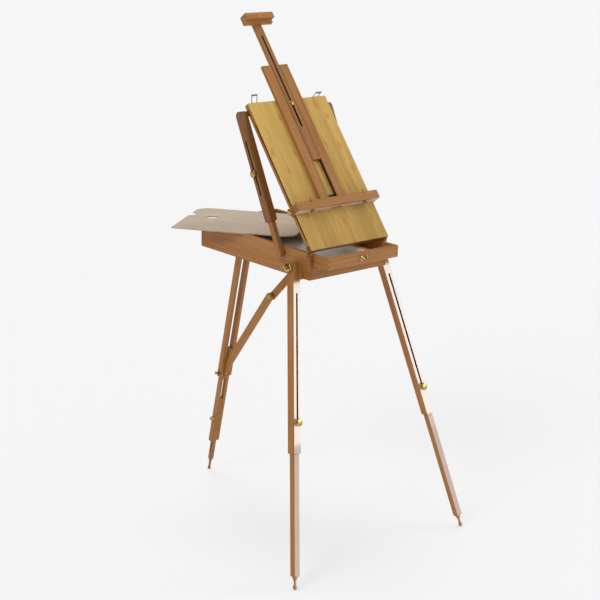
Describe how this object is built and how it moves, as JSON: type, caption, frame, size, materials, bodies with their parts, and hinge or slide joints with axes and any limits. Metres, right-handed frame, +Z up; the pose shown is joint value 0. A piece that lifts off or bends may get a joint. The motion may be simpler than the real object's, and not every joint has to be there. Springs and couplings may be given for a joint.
{
  "type": "box easel",
  "caption": "Free-standing wooden sketch-box easel with folding telescoping legs, a lined drawer, a tilting lid with a canvas tray and sliding mast, and a loose palette.",
  "frame": {"origin": "middle of the footprint's bounding box, on the floor", "axes": "+Z up, +Y away from the painter, towards the rear leg, +X to the painter's right"},
  "size_m": [0.7672, 0.9439, 1.7066],
  "materials": {
    "beech": "satin lacquer over oiled beech",
    "pine_panel": "satin lacquer over edge-glued pine",
    "palette_ply": "smooth matt plywood",
    "zinc_sheet": "zinc-plated sheet",
    "brass": "polished"
  },
  "bodies": {
    "box": {"box_side_left": "beech", "box_side_right": "beech", "box_back": "beech", "box_front_rail": "beech", "box_bottom": "beech", "drawer_runners": "beech", "leg_wedges": "beech", "pivot_bolts": "brass", "under_brackets": "brass", "box_catches": "brass", "hinge_plates_box": "brass"},
    "drawer": {"drawer_front": "beech", "drawer_walls": "beech", "drawer_bottom": "beech", "drawer_liner": "zinc_sheet", "drawer_dividers": "beech", "drawer_catch_plate": "brass"},
    "drawer_catch": {"drawer_catch_hook": "brass"},
    "palette": {"palette": "palette_ply"},
    "lid": {"lid_frame": "beech", "lid_panel": "pine_panel", "strut_ears": "brass", "latch_mounts": "brass", "hinge_straps_lid": "brass"},
    "latch_left": {"latch_bail_left": "brass"},
    "latch_right": {"latch_bail_right": "brass"},
    "tray": {"canvas_tray": "beech", "tray_cheeks": "beech", "tray_clips": "brass", "mast_rails": "beech", "mast_bolt": "brass"},
    "tray_knob_left": {"tray_knob_left": "brass"},
    "tray_knob_right": {"tray_knob_right": "brass"},
    "tray_wing_left": {"tray_wing_left": "brass"},
    "tray_wing_right": {"tray_wing_right": "brass"},
    "slider": {"mast_slider": "beech", "canvas_holder": "beech"},
    "rear_leg": {"rear_leg_rails": "beech", "rear_leg_lower": "beech", "rear_leg_bolt": "brass"},
    "rear_extension": {"rear_leg_extension": "beech"},
    "rear_wing": {"rear_wing_nut": "brass"},
    "rear_knob": {"rear_clamp_knob": "brass"},
    "brace_lower": {"brace_lower": "beech", "brace_knee_bolt": "brass"},
    "brace_upper": {"brace_upper": "beech"},
    "strut_outer_left": {"strut_outer_left": "beech"},
    "strut_inner_left": {"strut_inner_left": "beech"},
    "strut_knob_left": {"strut_knob_left": "brass"},
    "left_leg": {"left_leg_sleeve": "beech"},
    "left_leg_extension": {"left_leg_extension": "beech"},
    "left_leg_knob": {"left_leg_knob": "brass"},
    "left_pivot_nut": {"left_pivot_nut": "brass"},
    "strut_outer_right": {"strut_outer_right": "beech"},
    "strut_inner_right": {"strut_inner_right": "beech"},
    "strut_knob_right": {"strut_knob_right": "brass"},
    "right_leg": {"right_leg_sleeve": "beech"},
    "right_leg_extension": {"right_leg_extension": "beech"},
    "right_leg_knob": {"right_leg_knob": "brass"},
    "right_pivot_nut": {"right_pivot_nut": "brass"}
  },
  "joints": [
    {"name": "drawer_slide", "type": "slide", "parent": "box", "child": "drawer", "axis": [0, -1, 0], "range_m": [-0.069, 0.25]},
    {"name": "drawer_catch_turn", "type": "hinge", "parent": "drawer", "child": "drawer_catch", "pos_m": [0.01, -0.328, 0.98425], "axis": [0, 1, 0], "range_deg": [0, 90]},
    {"name": "palette_lift", "type": "slide", "parent": "box", "child": "palette", "axis": [0, 0, 1], "range_m": [0, 0.15]},
    {"name": "lid_tilt", "type": "hinge", "parent": "box", "child": "lid", "pos_m": [0, -0.252, 1.0075], "axis": [1, 0, 0], "range_deg": [-42, 20]},
    {"name": "latch_left_swing", "type": "hinge", "parent": "lid", "child": "latch_left", "pos_m": [-0.13, 0.07107, 1.43401], "axis": [1, 0, 0], "range_deg": [-110, 40]},
    {"name": "latch_right_swing", "type": "hinge", "parent": "lid", "child": "latch_right", "pos_m": [0.13, 0.07107, 1.43401], "axis": [1, 0, 0], "range_deg": [-156, 6]},
    {"name": "tray_slide", "type": "slide", "parent": "lid", "child": "tray", "axis": [0, 0.6157, 0.788], "range_m": [-0.09, 0.31]},
    {"name": "mast_slide", "type": "slide", "parent": "tray", "child": "slider", "axis": [0, 0.6157, 0.788], "range_m": [-0.245, 0.08]},
    {"name": "tray_knob_left_turn", "type": "hinge", "parent": "tray", "child": "tray_knob_left", "pos_m": [-0.1744, -0.17473, 1.1267], "axis": [-1, 0, 0], "continuous": true},
    {"name": "tray_wing_left_turn", "type": "hinge", "parent": "tray", "child": "tray_wing_left", "pos_m": [-0.113, -0.20572, 1.13251], "axis": [0, -0.6157, -0.788], "continuous": true},
    {"name": "strut_left_turn", "type": "hinge", "parent": "lid", "child": "strut_outer_left", "pos_m": [-0.18265, 0.06775, 1.39727], "axis": [1, 0, 0], "range_deg": [-8, 5]},
    {"name": "strut_left_slide", "type": "slide", "parent": "strut_outer_left", "child": "strut_inner_left", "axis": [0, -0.4431, -0.8965], "range_m": [-0.075, 0.04]},
    {"name": "strut_left_knob_turn", "type": "hinge", "parent": "strut_inner_left", "child": "strut_knob_left", "pos_m": [-0.196, -0.01732, 1.22514], "axis": [-1, 0, 0], "continuous": true},
    {"name": "left_leg_fold", "type": "hinge", "parent": "box", "child": "left_leg", "pos_m": [-0.1876, -0.206, 0.954], "axis": [0.9807, 0, -0.1957], "range_deg": [0, 105]},
    {"name": "left_leg_slide", "type": "slide", "parent": "left_leg", "child": "left_leg_extension", "axis": [-0.189, -0.2591, -0.9472], "range_m": [-0.39, 0]},
    {"name": "left_leg_knob_turn", "type": "hinge", "parent": "left_leg_extension", "child": "left_leg_knob", "pos_m": [-0.2785, -0.34651, 0.49853], "axis": [0.0507, -0.9659, 0.254], "continuous": true},
    {"name": "left_pivot_nut_turn", "type": "hinge", "parent": "box", "child": "left_pivot_nut", "pos_m": [-0.20172, -0.206, 0.95682], "axis": [-0.9807, 0, 0.1957], "continuous": true},
    {"name": "tray_knob_right_turn", "type": "hinge", "parent": "tray", "child": "tray_knob_right", "pos_m": [0.1744, -0.17473, 1.1267], "axis": [1, 0, 0], "continuous": true},
    {"name": "tray_wing_right_turn", "type": "hinge", "parent": "tray", "child": "tray_wing_right", "pos_m": [0.113, -0.20572, 1.13251], "axis": [0, -0.6157, -0.788], "continuous": true},
    {"name": "strut_right_turn", "type": "hinge", "parent": "lid", "child": "strut_outer_right", "pos_m": [0.18265, 0.06775, 1.39727], "axis": [1, 0, 0], "range_deg": [-8, 5]},
    {"name": "strut_right_slide", "type": "slide", "parent": "strut_outer_right", "child": "strut_inner_right", "axis": [0, -0.4431, -0.8965], "range_m": [-0.075, 0.04]},
    {"name": "strut_right_knob_turn", "type": "hinge", "parent": "strut_inner_right", "child": "strut_knob_right", "pos_m": [0.196, -0.01732, 1.22514], "axis": [1, 0, 0], "continuous": true},
    {"name": "right_leg_fold", "type": "hinge", "parent": "box", "child": "right_leg", "pos_m": [0.1876, -0.206, 0.954], "axis": [0.9807, 0, 0.1957], "range_deg": [0, 105]},
    {"name": "right_leg_slide", "type": "slide", "parent": "right_leg", "child": "right_leg_extension", "axis": [0.189, -0.2591, -0.9472], "range_m": [-0.39, 0]},
    {"name": "right_leg_knob_turn", "type": "hinge", "parent": "right_leg_extension", "child": "right_leg_knob", "pos_m": [0.2785, -0.34651, 0.49853], "axis": [-0.0507, -0.9659, 0.254], "continuous": true},
    {"name": "right_pivot_nut_turn", "type": "hinge", "parent": "box", "child": "right_pivot_nut", "pos_m": [0.20172, -0.206, 0.95682], "axis": [-0.9807, 0, -0.1957], "continuous": true},
    {"name": "rear_leg_fold", "type": "hinge", "parent": "box", "child": "rear_leg", "pos_m": [0, 0.2694, 0.904], "axis": [1, 0, 0], "range_deg": [-102, 0]},
    {"name": "rear_leg_slide", "type": "slide", "parent": "rear_leg", "child": "rear_extension", "axis": [0, 0.2139, -0.9769], "range_m": [-0.075, 0.045]},
    {"name": "rear_wing_nut_turn", "type": "hinge", "parent": "rear_leg", "child": "rear_wing", "pos_m": [-0.026, 0.3774, 0.41068], "axis": [-1, 0, 0], "continuous": true},
    {"name": "rear_clamp_knob_turn", "type": "hinge", "parent": "rear_leg", "child": "rear_knob", "pos_m": [-0.0189, 0.41911, 0.2202], "axis": [-1, 0, 0], "continuous": true},
    {"name": "brace_lower_turn", "type": "hinge", "parent": "rear_leg", "child": "brace_lower", "pos_m": [0, 0.3774, 0.41068], "axis": [1, 0, 0], "range_deg": [-26, 2]},
    {"name": "brace_upper_turn", "type": "hinge", "parent": "box", "child": "brace_upper", "pos_m": [0, -0.027, 0.904], "axis": [1, 0, 0], "range_deg": [-2, 47]}
  ],
  "couplings": [
    {"joint": "strut_left_turn", "follows": "lid_tilt", "ratio": 0.13},
    {"joint": "strut_left_slide", "follows": "lid_tilt", "m_per_rad": 0.0945},
    {"joint": "strut_right_turn", "follows": "lid_tilt", "ratio": 0.13},
    {"joint": "strut_right_slide", "follows": "lid_tilt", "m_per_rad": 0.0945},
    {"joint": "brace_lower_turn", "follows": "rear_leg_fold", "ratio": 0.2361},
    {"joint": "brace_upper_turn", "follows": "rear_leg_fold", "ratio": -0.4404}
  ]
}
